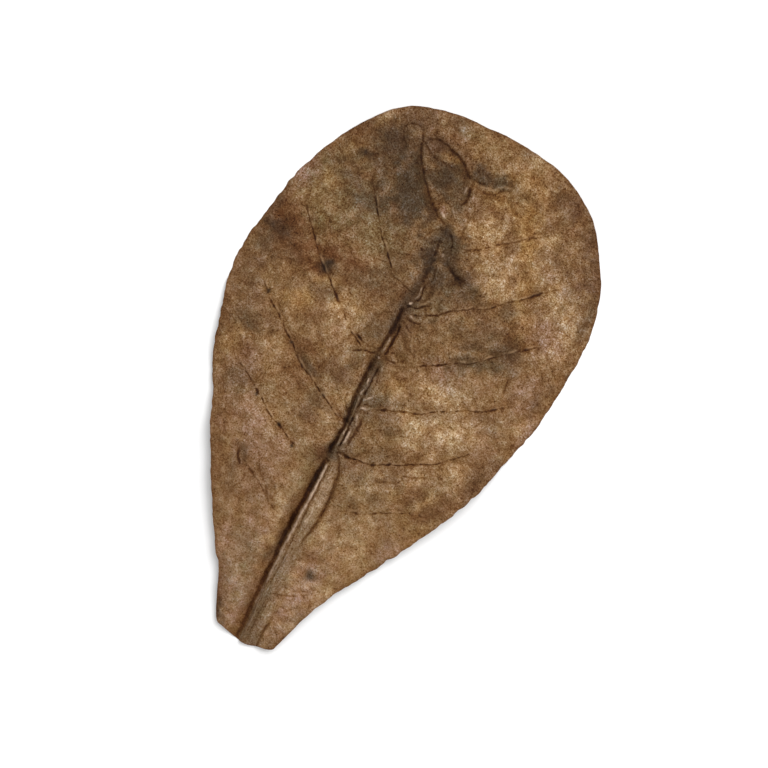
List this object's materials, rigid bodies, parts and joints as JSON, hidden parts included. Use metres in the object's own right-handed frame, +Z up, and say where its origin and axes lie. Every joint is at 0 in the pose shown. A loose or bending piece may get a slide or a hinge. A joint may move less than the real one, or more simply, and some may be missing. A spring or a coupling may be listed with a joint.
{
  "type": "dried indian almond leaf",
  "caption": "Dried brown obovate leaf blade lying face up, gently buckled, with a raised midrib, arched side veins and a crumpled fold near its broad tip.",
  "frame": {"origin": "on the surface the leaf lies on, below the middle of its outline box", "axes": "+Y along the midrib from the broken stalk end to the tip, +Z up out of the leaf's upper face, +X to the right of the midrib seen from above"},
  "size_m": [0.119, 0.1908, 0.0087],
  "materials": {
    "leaf": "dry, matt, mottled brown leaf tissue"
  },
  "bodies": {
    "root": {"leaf": "leaf"}
  },
  "joints": []
}
